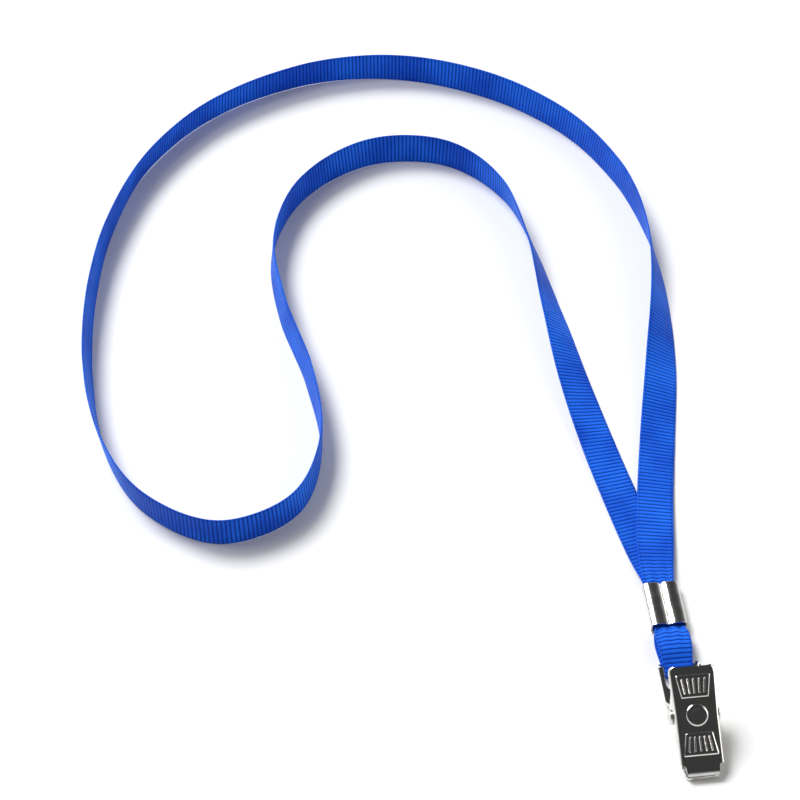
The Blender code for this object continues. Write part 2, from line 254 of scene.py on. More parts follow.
# The table and the lights: name, place, aim, size in metres, power in watts and colour
TABLE_HALF = 9.0
TABLE_CLEARANCE = 0.02 * MM
AREA_LIGHTS = (
    ("key", (-0.50, 0.30, 0.62), (-0.04, 0.08, 0.0), (0.30, 0.45), 1.9, (1.0, 1.0, 1.0)),
    ("fill", (0.70, -0.05, 0.42), (-0.02, 0.06, 0.0), (0.20, 0.70), 1.6, (1.0, 0.97, 0.93)),
    ("rim", (0.05, 0.85, 0.40), (0.0, 0.05, 0.0), (0.9, 0.16), 1.2, (1.0, 1.0, 1.0)),
)
DAYLIGHT_STRENGTH = 2.8
DAYLIGHT_SPREAD = radians(24)
DAYLIGHT_TURN = (radians(-34), radians(-26), 0.0)
ROOM_STOPS = ((0.0, 0.84), (0.30, 0.70), (0.48, 0.22), (0.72, 0.05), (1.0, 0.04))
ROOM_TINT = (0.96, 0.98, 1.0)

BLACK = (0.0, 0.0, 0.0)
WHITE = (1.0, 1.0, 1.0)


# ---- helpers ----------------------------------------------------------------------------------------


def smooth(t):
    """0 to 1 with flat ends."""
    t = min(max(t, 0.0), 1.0)
    return t * t * (3 - 2 * t)


def mesh_object(name, points, faces, look, uvs=None):
    """A smooth-shaded mesh in the scene, with one material and, if given, a UV for each point."""
    mesh = bpy.data.meshes.new(name)
    mesh.from_pydata([tuple(p) for p in points], [], faces)
    mesh.polygons.foreach_set("use_smooth", [True] * len(mesh.polygons))
    if uvs:
        layer = mesh.uv_layers.new(name="weave")
        for loop in mesh.loops:
            layer.data[loop.index].uv = uvs[loop.vertex_index]
    mesh.update()
    made = bpy.data.objects.new(name, mesh)
    made.data.materials.append(look)
    bpy.context.scene.collection.objects.link(made)
    return made


def apply_modifiers(obj):
    """Turns the object's modifiers into its mesh."""
    bpy.context.view_layer.update()
    evaluated = obj.evaluated_get(bpy.context.evaluated_depsgraph_get())
    mesh = bpy.data.meshes.new_from_object(evaluated)
    obj.modifiers.clear()
    obj.data = mesh


def make_sheet_solid(obj, thickness, edge):
    """Gives an open sheet its thickness and small rounded edges that catch the light."""
    shell = obj.modifiers.new("sheet", "SOLIDIFY")
    shell.thickness = thickness
    shell.offset = 0.0
    shell.use_even_offset = True
    shell.use_rim = True
    rounded = obj.modifiers.new("edges", "BEVEL")
    rounded.width = edge
    rounded.segments = 2
    rounded.limit_method = "ANGLE"
    rounded.angle_limit = radians(62)
    rounded.harden_normals = True
    apply_modifiers(obj)


def catmull_rom(p, q, r, s, t):
    """The value at t, from 0 to 1, between q and r on a Catmull-Rom curve through p, q, r and s."""
    return q + 0.5 * t * (r - p + t * (2 * p - 5 * q + 4 * r - s + t * (3 * (q - r) + s - p)))


def smooth_route(stations, steps_for):
    """Points along a smooth curve through the stations, each a tuple that starts with x, y and z.

    steps_for(total length) lists the points' distances along it, each with how raised its rib is. The
    list is returned with the points.
    """
    ends = [stations[0]] + list(stations) + [stations[-1]]
    fine = []
    for four in zip(ends, ends[1:], ends[2:], ends[3:]):
        for k in range(CURVE_STEPS):
            t = k / CURVE_STEPS
            fine.append(tuple(catmull_rom(*numbers, t) for numbers in zip(*four)))
    fine.append(tuple(stations[-1]))
    along = [0.0]
    for p, q in zip(fine, fine[1:]):
        along.append(along[-1] + (Vector(q[:3]) - Vector(p[:3])).length)
    wanted = steps_for(along[-1])
    out = []
    k = 0
    for want, _ in wanted:
        while k < len(fine) - 2 and along[k + 1] < want:
            k += 1
        t = (want - along[k]) / max(along[k + 1] - along[k], 1e-12)
        out.append(tuple(p + t * (q - p) for p, q in zip(fine[k], fine[k + 1])))
    return out, wanted


def rib_steps(total):
    """Distances along a ribbon of this length, with how raised its rib is there, from 0 to 1."""
    out = []
    for k in range(int(ceil(total / RIB_PITCH))):
        for share, raised in RIB_ROWS:
            at = (k + share) * RIB_PITCH
            if at < total:
                out.append((at, raised))
    out.append((total, 0.0))
    return out


# ---- node materials ---------------------------------------------------------------------------------


class Nodes:
    """A short way to add nodes to one material."""

    def __init__(self, name):
        self.material = bpy.data.materials.new(name)
        self.material.use_nodes = True
        self.tree = self.material.node_tree
        self.shader = self.tree.nodes["Principled BSDF"]

    def add(self, kind, values=(), **settings):
        node = self.tree.nodes.new("ShaderNode" + kind)
        for key, value in settings.items():
            setattr(node, key, value)
        for key, value in dict(values).items():
            node.inputs[key].default_value = value
        return node

    def link(self, a, b):
        self.tree.links.new(a, b)

    def math(self, operation, a, b=0.0, clamp=False):
        """A Math node. Each input is a number or a socket."""
        node = self.add("Math", operation=operation, use_clamp=clamp)
        for socket, value in zip(node.inputs, (a, b)):
            if isinstance(value, (int, float)):
                socket.default_value = value
            else:
                self.link(value, socket)
        return node.outputs[0]

    def noise(self, vector, scale, detail=2.0, roughness=0.5):
        node = self.add("TexNoise", {"Scale": scale, "Detail": detail, "Roughness": roughness})
        self.link(vector, node.inputs["Vector"])
        return node.outputs["Fac"]

    def ramp(self, fac, stops):
        """A colour ramp with stops of (position, colour)."""
        node = self.add("ValToRGB")
        elements = node.color_ramp.elements
        while len(elements) < len(stops):
            elements.new(0.5)
        for element, (position, colour) in zip(elements, stops):
            element.position = position
            element.color = (*colour, 1.0)
        self.link(fac, node.inputs["Fac"])
        return node.outputs["Color"]

    def mix(self, fac, a, b):
        """A colour mix. Each input is a number, a colour or a socket."""
        node = self.add("Mix", data_type="RGBA", blend_type="MIX")
        for socket, value in ((node.inputs[0], fac), (node.inputs[6], a), (node.inputs[7], b)):
            if isinstance(value, (int, float)):
                socket.default_value = value
            elif isinstance(value, tuple):
                socket.default_value = (*value, 1.0)
            else:
                self.link(value, socket)
        return node.outputs[2]

    def bump(self, height, strength, distance, before=None):
        """A bump from a height, on top of an earlier bump if one is given."""
        node = self.add("Bump", {"Strength": strength, "Distance": distance})
        self.link(height, node.inputs["Height"])
        if before:
            self.link(before, node.inputs["Normal"])
        return node.outputs["Normal"]


def grosgrain_material():
    """Royal blue ribbon: painted shade between the ribs, a painted satin sheen in slow patches along it, fine
    threads along it and a plain selvedge.

    The UV map holds the place across and along the ribbon in millimetres.
    """
    n = Nodes("blue_grosgrain")
    place = n.add("TexCoord").outputs["UV"]
    split = n.add("SeparateXYZ")
    n.link(place, split.inputs[0])
    across, along = split.outputs[0], split.outputs[1]

    # Painted shade: the colour goes dark where the ribs dip, standing in for the shade that falls between
    # them
    rib = n.math("ABSOLUTE", n.math("SINE", n.math("MULTIPLY", along, pi / (RIB_PITCH / MM))))
    painted_valley_shade = n.ramp(rib, ((0.0, BLACK), (0.30, (0.30, 0.30, 0.30)), (0.72, WHITE)))
    thread_pitch = 0.26
    thread = n.math("SINE", n.math("MULTIPLY", across, tau / thread_pitch))
    drift = n.noise(n.add("TexCoord").outputs["Object"], 55.0, 3.0)
    fibre = n.noise(place, 5.5, 4.0, 0.65)
    line_place, line_sharpness = 4.42, 6.0
    from_line = n.math("ABSOLUTE", n.math("SUBTRACT", n.math("ABSOLUTE", across), line_place))
    selvedge_line = n.math("SUBTRACT", 1.0, n.math("MULTIPLY", from_line, line_sharpness), clamp=True)

    # Painted sheen: slow noise lightens the blue in patches along the ribbon, standing in for satin
    # highlights
    painted_sheen = n.ramp(drift, ((0.36, BLACK), (0.64, WHITE)))
    body = n.mix(painted_sheen, (0.012, 0.095, 0.68), (0.022, 0.190, 1.0))
    body = n.mix(n.math("MULTIPLY", fibre, 0.35), body, (0.004, 0.045, 0.42))
    # Painted shade laid into the hollows between the ribs
    body = n.mix(painted_valley_shade, (0.002, 0.018, 0.20), body)
    body = n.mix(n.math("MULTIPLY", selvedge_line, 0.55), body, (0.002, 0.018, 0.22))
    n.link(body, n.shader.inputs["Base Color"])

    rough = n.math("ADD", n.math("MULTIPLY", fibre, 0.16), 0.36)
    n.link(rough, n.shader.inputs["Roughness"])
    weave = n.math("ADD", n.math("MULTIPLY", thread, 0.5), fibre)
    n.link(n.bump(weave, 0.35, 0.05 * MM), n.shader.inputs["Normal"])
    n.shader.inputs["IOR"].default_value = 1.28
    n.shader.inputs["Specular IOR Level"].default_value = 0.25
    n.shader.inputs["Specular Tint"].default_value = (0.10, 0.42, 1.0, 1.0)
    n.shader.inputs["Sheen Weight"].default_value = 0.3
    n.shader.inputs["Sheen Roughness"].default_value = 0.35
    n.shader.inputs["Sheen Tint"].default_value = (0.03, 0.27, 1.0, 1.0)
    return n.material


def metal_material(name, colour, dull, roughness, scratch):
    """Plated steel: slow tarnish, fine scratches and a slight orange-peel surface."""
    n = Nodes(name)
    place = n.add("TexCoord").outputs["Object"]
    stretch = n.add("Mapping", {"Scale": (900.0, 120.0, 900.0)})
    n.link(place, stretch.inputs["Vector"])
    streak = n.noise(stretch.outputs[0], 3.0, 3.0, 0.6)
    stain = n.noise(place, 260.0, 4.0, 0.6)
    grain = n.noise(place, 1500.0, 2.0)
    tarnish = n.ramp(stain, ((0.42, BLACK), (0.72, WHITE)))
    n.link(n.mix(n.math("MULTIPLY", tarnish, 0.45), colour, dull), n.shader.inputs["Base Color"])
    rough = n.math("ADD", n.math("MULTIPLY", streak, scratch), roughness)
    rough = n.math("ADD", rough, n.math("MULTIPLY", tarnish, 0.05))
    n.link(rough, n.shader.inputs["Roughness"])
    peel = n.bump(grain, 0.10, 0.02 * MM)
    n.link(n.bump(streak, 0.08, 0.01 * MM, peel), n.shader.inputs["Normal"])
    n.shader.inputs["Metallic"].default_value = 1.0
    return n.material


def table_material():
    """A matt off-white table, a little uneven in tone."""
    n = Nodes("pale_table")
    place = n.add("TexCoord").outputs["Object"]
    tone = n.noise(place, 3.0, 2.0)
    n.link(n.mix(tone, (0.90, 0.90, 0.90), (0.94, 0.94, 0.935)), n.shader.inputs["Base Color"])
    n.shader.inputs["Roughness"].default_value = 0.55
    n.shader.inputs["Specular IOR Level"].default_value = 0.3
    return n.material


# ---- ribbon -----------------------------------------------------------------------------------------


def ribbon_half(share, raised):
    """Half the ribbon's thickness at this share of its half width: ribs, a beaded selvedge, then nothing."""
    if share < SELVEDGE:
        return WEAVE_HALF + RIB_HEIGHT * raised
    t = (share - SELVEDGE) / (1.0 - SELVEDGE)
    bead = sin(pi * t) * SELVEDGE_BEAD
    return (WEAVE_HALF + RIB_HEIGHT * SELVEDGE_RIB * raised) * (1.0 - t**4) + bead


def ribbon_mesh(name, rows, look):
    """A closed ribbon with real ribs.

    Each row is (middle, across, normal, width, distance along, how raised its rib is, wave), and
    wave(share of the half width) is how far the ribbon rises there along the normal.
    """
    shares = [-u for u in reversed(RIBBON_COLUMNS[1:])] + list(RIBBON_COLUMNS)
    ring = [(u, 1.0) for u in shares] + [(u, -1.0) for u in reversed(shares[1:-1])]
    count = len(ring)
    points, uvs, faces = [], [], []
    for middle, across, normal, width, at, raised, wave in rows:
        half_width = width / 2 * (1.0 + SCALLOP * raised)
        for u, side in ring:
            rise = wave(u) + side * ribbon_half(abs(u), raised)
            points.append(middle + across * (u * half_width) + normal * rise)
            uvs.append((u * RIBBON_WIDTH / 2 / MM, at / MM))
    for i in range(len(rows) - 1):
        for k in range(count):
            here, beside = i * count + k, i * count + (k + 1) % count
            faces.append((here, beside, beside + count, here + count))
    faces.append(tuple(range(count))[::-1])
    faces.append(tuple((len(rows) - 1) * count + k for k in range(count)))
    return mesh_object(name, points, faces, look, uvs)


def strap_stations():
    """The strap's stations in metres: x, y, z of the ribbon's middle, roll in radians and width."""
    out = []
    for x, y, lift, roll in STRAP_ROUTE:
        turn = radians(roll)
        rest = RIBBON_WIDTH / 2 * abs(sin(turn)) + RIBBON_THICK / 2 * abs(cos(turn))
        inside = y * MM < CRIMP_END_Y + 2 * MM
        height = lift * MM if inside else rest + max(lift * MM - RIBBON_THICK / 2, 0.0)
        width = PINCHED_WIDTH if inside else RIBBON_WIDTH
        out.append((x * MM, y * MM, height, turn, width))
    return out


def crimp_crease(out_of_crimp):
    """The lengthwise buckles where the crimp pinches the ribbon, fading with distance from it."""
    size = CREASE_HEIGHT * exp(-max(out_of_crimp, 0.0) / CREASE_FADE)
    size *= smooth((out_of_crimp + 0.4 * MM) / (1.8 * MM))
    drift = 0.6 * out_of_crimp / (8 * MM)
    buckles, phase = 1.45, 0.8
    return lambda u: size * (0.5 - 0.5 * cos(tau * buckles * u + phase + drift))


def make_strap(look):
    """The long loop, on the CAD's route. Slow waves and a slight cup keep it from looking rolled flat."""
    route, steps = smooth_route(strap_stations(), rib_steps)
    rows, path = [], []
    last = len(route) - 1
    for i, ((x, y, z, roll, width), (at, raised)) in enumerate(zip(route, steps)):
        before, after = route[max(i - 2, 0)], route[min(i + 2, last)]
        tangent = Vector(after[:3]) - Vector(before[:3])
        heading = Vector((tangent.x, tangent.y, 0.0)).normalized()
        side = Vector((heading.y, -heading.x, 0.0))
        free = smooth((hypot(x, y - CRIMP_END_Y) - 12 * MM) / (40 * MM))
        roll += ROLL_DRIFT * free * noise.noise((at * ROLL_RATE, 0.3, 0.0)) * abs(sin(roll))
        across = cos(roll) * side - sin(roll) * Z_AXIS
        normal = across.cross(tangent.normalized()).normalized()
        lean = abs(sin(roll))
        sway = SWAY * free * lean * noise.noise((at * SWAY_RATE, 4.7, 0.0))
        sway += RIPPLE * free * lean * noise.noise((at * RIPPLE_RATE, 9.1, 0.0))
        middle = Vector((x, y, z)) + normal * sway
        upward = 1.0 if normal.z >= 0 else -1.0
        near_crimp = i < CREASED_ROWS or i > last - CREASED_ROWS
        crease = crimp_crease(y - CRIMP_END_Y) if near_crimp else None
        cup = CUP * free * noise.noise((at * CUP_RATE, 1.9, 0.0))

        def wave(u, crease=crease, cup=cup, upward=upward):
            return cup * (1 - u * u) + (upward * crease(u) if crease else 0.0)

        rows.append((middle, across, normal, width, at, raised, wave))
        if i % PATH_EVERY == 0 or i == last:
            path.append(tuple(Vector((x, y, z))))
    made = ribbon_mesh("ribbon_loop", rows, look)
    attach(made, "strap")
    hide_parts("neck_strap")


def loop_stations():
    """The short loop's stations as y, z and width: crimp, over the tail bar, through the window, back."""
    to_world = lever_frame()
    bar = LONG_LEVER - TAIL_BAR
    reach = SHEET / 2 + GAP + RIBBON_THICK / 2
    start_y = CRIMP_START_Y + CRIMP_LENGTH / 2 - 2 * GAP
    stations = [
        (start_y, UPPER_LAYER, PINCHED_WIDTH),
        (CRIMP_START_Y - 0.5 * MM, UPPER_LAYER, PINCHED_WIDTH),
        (CRIMP_START_Y - 3.5 * MM, UPPER_LAYER + 1.1 * MM, 9.0 * MM),
        (CRIMP_START_Y - 7.5 * MM, UPPER_LAYER + 1.5 * MM, 8.8 * MM),
    ]
    for along, over in (
        (LONG_LEVER + 0.2 * MM, reach + 0.5 * MM),
        (bar + 1.2 * MM, reach + 0.1 * MM),
        (bar + 0.1 * MM, reach),
    ):
        world = to_world @ Vector((0.0, along, over))
        stations.append((world.y, world.z, WINDOW_RIBBON_WIDTH))
    round_steps = 6
    for k in range(1, round_steps):
        turn = pi * k / round_steps
        world = to_world @ Vector((0.0, bar + 0.1 * MM - reach * sin(turn), reach * cos(turn)))
        stations.append((world.y, world.z, WINDOW_RIBBON_WIDTH))
    rest = RIBBON_THICK / 2
    stations += [
        (NOSE_Y + bar + 0.4 * MM, rest, WINDOW_RIBBON_WIDTH),
        (NOSE_Y + LONG_LEVER + 1.0 * MM, rest, 8.2 * MM),
        (CRIMP_START_Y - 5.5 * MM, rest, 9.2 * MM),
        (CRIMP_START_Y - 2.5 * MM, rest + 0.2 * MM, 8.8 * MM),
        (CRIMP_START_Y - 0.5 * MM, LOWER_LAYER, PINCHED_WIDTH),
        (start_y, LOWER_LAYER, PINCHED_WIDTH),
    ]
    return stations


def make_clip_loop(look):
    """The short loop from the crimp round the clip's tail bar, crinkled where it is pinched."""
    stations = [(0.0, y, z, 0.0, width) for y, z, width in loop_stations()]
    route, steps = smooth_route(stations, rib_steps)
    rows = []
    last = len(route) - 1
    for i, ((_, y, z, _, width), (at, raised)) in enumerate(zip(route, steps)):
        before, after = route[max(i - 1, 0)], route[min(i + 1, last)]
        tangent = (Vector(after[:3]) - Vector(before[:3])).normalized()
        normal = X_AXIS.cross(tangent).normalized()
        middle = Vector((0.0, y, z))
        outside = CRIMP_START_Y - y
        crease = crimp_crease(outside)
        upward = 1.0 if normal.z >= 0 else -1.0
        over = 1.0 if i < last / 2 else 0.0
        belly = LOOP_BELLY * smooth(outside / (3 * MM)) * smooth((y - 4 * MM) / (4 * MM)) * over

        def wave(u, crease=crease, belly=belly, upward=upward):
            return upward * (crease(u) + belly * (1 - u * u))

        rows.append((middle, X_AXIS, normal, width, at, raised, wave))
    made = ribbon_mesh("ribbon_clip_loop", rows, look)
    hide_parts("clip_loop")
    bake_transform(made)


# ---- clip -------------------------------------------------------------------------------------------


def lever_frame():
    """Maps the long lever's (across, along, over) to the world: nose on the table, tail raised."""
    return Matrix.Translation((0.0, NOSE_Y, SHEET / 2)) @ Matrix.Rotation(TILT, 4, "X")


def pivot_point():
    """The middle of the rivet, where both levers turn."""
    return lever_frame() @ Vector((0.0, PIVOT_ALONG, PIVOT_OVER_LONG))


def short_lever_frame():
    """Maps the short lever's (across, along, over) to the world: it faces the long lever."""
    turn = Matrix.Rotation(TILT + JAW_ANGLE, 4, "X")
    flip = Matrix.Scale(-1.0, 4, Z_AXIS)
    back = Matrix.Translation((0.0, -PIVOT_ALONG, -PIVOT_OVER_SHORT))
    return Matrix.Translation(pivot_point()) @ turn @ flip @ back


def ear_height(along, ear):
    """The side wall's height over the sheet: a low wall that rises to a rounded ear at the pivot."""
    pivot_over, tail_base, nose_base, wall = ear
    off = along - PIVOT_ALONG
    base = tail_base if off > 0 else nose_base
    off = abs(off)
    top = pivot_over + (EAR_TOP**2 - min(off, EAR_ROUND) ** 2) ** 0.5
    if off <= EAR_ROUND:
        return top
    slope = (top - wall) / (base - EAR_ROUND)
    straight = top - slope * (off - EAR_ROUND)
    blend = max(EAR_FILLET - abs(straight - wall), 0.0) / EAR_FILLET
    return max(straight, wall) + blend * blend * EAR_FILLET / 4


def wall_height(along, length, ear):
    """The wall's height with its ramp behind the nose and its round end at the tail."""
    height = ear_height(along, ear)
    least = FOLD + 0.05 * MM
    ramp = smooth((along - NOSE_LENGTH) / (2.4 * MM))
    height = least + (height - least) * ramp
    tail = min((length - along) / TAIL_ROUND, 1.0)
    return least + (height - least) * max(1 - (1 - tail) ** 2, 0.0) ** 0.5


def corner_inset(distance, radius):
    """How far a rounded corner draws an edge in, at a distance from the corner's end."""
    if distance >= radius:
        return 0.0
    return radius - max(radius**2 - (radius - distance) ** 2, 0.0) ** 0.5


def spaced(start, end, step):
    """Places about a step apart from start up to, but not at, end."""
    count = max(1, int(round((end - start) / step)))
    return [start + (end - start) * k / count for k in range(count)]


def lever_rows(length, window, fine):
    """Distances along a lever from its nose, close together where its outline turns."""
    rows = [d * MM for d in NOSE_ROWS]
    rows += spaced(1.5 * MM, NOSE_LENGTH, 0.3 * MM)
    rows += spaced(NOSE_LENGTH, window[0] if window else length - TAIL_ROUND, fine)
    if window:
        rows += [window[0] + d * MM for d in WINDOW_FRONT_ROWS]
        rows += spaced(window[0] + WINDOW_FRONT_CORNER, window[1] - WINDOW_BACK_CORNER, 0.3 * MM)
        rows += [window[1] - d * MM for d in WINDOW_BACK_ROWS]
        rows += spaced(window[1] + 0.2 * MM, length - TAIL_ROUND, 0.2 * MM)
    rows += [length - d * MM for d in TAIL_ROWS]
    return sorted(set(round(r, 8) for r in rows))


def plate_places(flat, inner, centre):
    """Places across the plate: a strip beyond the inner half width on each side, and the part between."""
    side = [inner + (flat - inner) * k / STRIP_COLUMNS for k in range(STRIP_COLUMNS + 1)]
    middle = [-inner + 2 * inner * k / centre for k in range(1, centre)]
    return [-x for x in reversed(side)] + middle + side


def plate_half(along, half, in_nose):
    """Half the width of the flat plate: the whole nose, or the part between the folds."""
    if not in_nose:
        return half - FOLD
    taper = NOSE_TAPER * (1 - along / NOSE_LENGTH)
    return min(NOSE_HALF, half) - taper - corner_inset(along, NOSE_CORNER)


def window_half(along, window, flat):
    """Half the window's width, drawn in at its rounded corners and past its ends."""
    front = corner_inset(along - window[0], WINDOW_FRONT_CORNER) if along > window[0] else WINDOW_FRONT_CORNER
    back = corner_inset(window[1] - along, WINDOW_BACK_CORNER) if along < window[1] else WINDOW_BACK_CORNER
    return min(WINDOW_HALF, flat - WINDOW_FRAME) - max(front, back)


def make_lever(name, length, half_width, ear, window, relief, frame_of, look, centre, fine):
    """A stamped lever of folded sheet, mapped to the world by frame_of.

    half_width(along) is half its outer width and relief(across, along) its embossing. centre is the
    number of columns in the middle of its plate, and fine the distance between its rows.
    """
    points, index = [], {}
    rows = lever_rows(length, window, fine)

    def put(key, across, along, over):
        index[key] = len(points)
        points.append(frame_of @ Vector((across, along, over)))

    for i, along in enumerate(rows):
        half = half_width(along) - PLATE_SHEET / 2
        half -= corner_inset(length - along, TAIL_CORNER) * TAIL_CORNER_SHARE
        lip = LIP_RISE * (1 - smooth(along / (LIP_LENGTH * 1.3)))
        in_nose = along < NOSE_LENGTH - 1e-7
        flat = plate_half(along, half, in_nose)
        inner = window_half(along, window, flat) if window else flat * 0.8
        for k, across in enumerate(plate_places(flat, min(inner, flat * 0.9), centre)):
            put((i, "plate", k), across, along, lip + relief(across, along))
        if in_nose:
            continue
        top = wall_height(along, length, ear)
        for sign in (-1, 1):
            for k in range(1, FOLD_STEPS + 1):
                turn = pi / 2 * k / FOLD_STEPS
                across = half - FOLD + FOLD * sin(turn)
                put((i, sign, k), sign * across, along, FOLD - FOLD * cos(turn))
            for k in range(1, WALL_STEPS + 1):
                over = FOLD + (top - FOLD) * k / WALL_STEPS
                from_pivot = hypot(along - PIVOT_ALONG, over - ear[0])
                boss = RIVET_BOSS * smooth((RIVET_BOSS_RADIUS - from_pivot) / (0.35 * MM))
                put((i, sign, FOLD_STEPS + k), sign * (half + boss), along, over)
    faces = []
    plate_count = 2 * (STRIP_COLUMNS + 1) + centre - 1
    hole = range(STRIP_COLUMNS, STRIP_COLUMNS + centre)

    def quad(corners):
        if all(c in index for c in corners):
            faces.append([index[c] for c in corners])

    for i in range(len(rows) - 1):
        middle_along = (rows[i] + rows[i + 1]) / 2
        open_row = bool(window) and window[0] < middle_along < window[1]
        for k in range(plate_count - 1):
            if open_row and k in hole:
                continue
            a, b = (i, "plate", k), (i, "plate", k + 1)
            quad([a, b, (i + 1, "plate", k + 1), (i + 1, "plate", k)])
        for sign, base in ((-1, 0), (1, plate_count - 1)):
            for k in range(FOLD_STEPS + WALL_STEPS):
                a = (i, "plate", base) if k == 0 else (i, sign, k)
                d = (i + 1, "plate", base) if k == 0 else (i + 1, sign, k)
                corners = [a, (i, sign, k + 1), (i + 1, sign, k + 1), d]
                quad(corners if sign > 0 else corners[::-1])
    made = mesh_object(name, points, faces, look)
    make_sheet_solid(made, PLATE_SHEET, 0.09 * MM)
    return made


def thumb_relief(across, along):
    """The short lever's stamping, outwards: two pads with plain lengthwise grooves and a round button."""
    height = 0.0
    for wide_end, narrow_end in PADS:
        share = (along - narrow_end) / (wide_end - narrow_end)
        if not 0.0 < share < 1.0:
            continue
        half = (3.3 + 0.95 * share) * MM
        from_ends = min(share, 1.0 - share) * abs(wide_end - narrow_end)
        height = smooth(min(half - abs(across), from_ends) / STAMP_SLOPE)
        spacing = 2 * (half - 0.45 * MM) / GROOVES
        outermost = GROOVES // 2
        nearest = round(max(min(across / spacing, outermost), -outermost))
        from_groove = abs(across / spacing - nearest) * spacing
        groove = GROOVE_DEPTH * smooth((GROOVE_HALF - from_groove) / STAMP_SLOPE)
        height -= groove * smooth((from_ends - GROOVE_MARGIN) / STAMP_SLOPE)
    from_middle = hypot(across, along - BUTTON_ALONG)
    button = smooth((BUTTON_RADIUS - from_middle) / (2 * STAMP_SLOPE))
    button -= 0.35 * smooth((BUTTON_DISH - from_middle) / MM)
    return -STAMP_DEPTH * max(height, button)


def plain_relief(across, along):
    """The long lever's plate: one shallow stiffening bead across it behind the jaws."""
    from_bead = abs(along - BEAD_ALONG)
    inside = smooth((BEAD_HALF_LENGTH - abs(across)) / (0.4 * MM))
    return BEAD_HEIGHT * smooth((BEAD_HALF_WIDTH - from_bead) / (0.35 * MM)) * inside


def make_levers(look):
    """Both levers. An ear is (pivot over the sheet, its base towards the tail and the nose, wall height)."""
    long_ear = (PIVOT_OVER_LONG, 4.8 * MM, 4.6 * MM, LONG_WALL)
    short_ear = (PIVOT_OVER_SHORT, 6.2 * MM, 5.6 * MM, SHORT_WALL)
    window_end = LONG_LEVER - TAIL_BAR

    def long_half(along):
        step = smooth((along - WIDE_FROM) / WIDE_STEP)
        return (INNER_WIDTH + (CLIP_WIDTH - INNER_WIDTH) * step) / 2

    def short_half(along):
        past_pivot = max(along - PIVOT_ALONG, 0.0) / (SHORT_LEVER - PIVOT_ALONG)
        return CLIP_WIDTH / 2 + TAIL_FLARE * past_pivot

    window = (window_end - WINDOW_LENGTH, window_end)
    long_one = make_lever(
        "clip_long_lever",
        LONG_LEVER,
        long_half,
        long_ear,
        window,
        plain_relief,
        lever_frame(),
        look,
        centre=10,
        fine=0.25 * MM,
    )
    short_one = make_lever(
        "clip_short_lever",
        SHORT_LEVER,
        short_half,
        short_ear,
        None,
        thumb_relief,
        short_lever_frame(),
        look,
        centre=66,
        fine=0.115 * MM,
    )
    for made, body, node in ((long_one, "clip", "long_lever"), (short_one, "jaw", "short_lever")):
        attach(made, body)
        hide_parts(node)


def turned(name, profile, segments, matrix, look):
    """A solid turned about its local Z from a profile of (radius, height), both ends on the axis."""
    points, faces = [], []
    for radius, height in profile:
        for k in range(segments):
            angle = tau * k / segments
            points.append(matrix @ Vector((radius * cos(angle), radius * sin(angle), height)))
    for i in range(len(profile) - 1):
        here, above = i * segments, (i + 1) * segments
        for k in range(segments):
            beside = (k + 1) % segments
            faces.append((here + k, here + beside, above + beside, above + k))
    for row, flip in ((0, True), (len(profile) - 1, False)):
        ring = [row * segments + k for k in range(segments)]
        faces.append(ring[::-1] if flip else ring)
    return mesh_object(name, points, faces, look)


def make_rivet(look):
    """The axle with a domed head at each end and a shallow dimple in each dome."""
    reach = CLIP_WIDTH / 2 + GAP
    dome_steps = 12
    head = []
    for k in range(dome_steps + 1):
        turn = pi / 2 * k / dome_steps
        radius = HEAD_RADIUS * sin(turn)
        height = reach + HEAD_RIM + (HEAD_HEIGHT - HEAD_RIM) * cos(turn)
        dimple = HEAD_DIMPLE * smooth((DIMPLE_RADIUS - radius) / (0.45 * MM))
        head.append((max(radius, 0.02 * MM), height - dimple))
    head += [(HEAD_RADIUS, reach + HEAD_EDGE), (HEAD_RADIUS - HEAD_EDGE, reach), (PIN_RADIUS, reach)]
    profile = head + [(r, -h) for r, h in reversed(head)]
    matrix = Matrix.Translation(pivot_point()) @ Matrix.Rotation(pi / 2, 4, "Y")
    made = turned("clip_rivet", profile[::-1], 48, matrix, look)
    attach(made, "clip")
    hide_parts("pivot_rivet")


def wire(name, points, look):
    """A round wire through the points."""
    curve = bpy.data.curves.new(name, "CURVE")
    curve.dimensions = "3D"
    curve.bevel_depth = WIRE_RADIUS
    curve.bevel_resolution = 4
    curve.use_fill_caps = True
    spline = curve.splines.new("POLY")
    spline.points.add(len(points) - 1)
    for spot, place in zip(spline.points, points):
        spot.co = (*place, 1.0)
    made = bpy.data.objects.new(name, curve)
    curve.materials.append(look)
    bpy.context.scene.collection.objects.link(made)
    return made


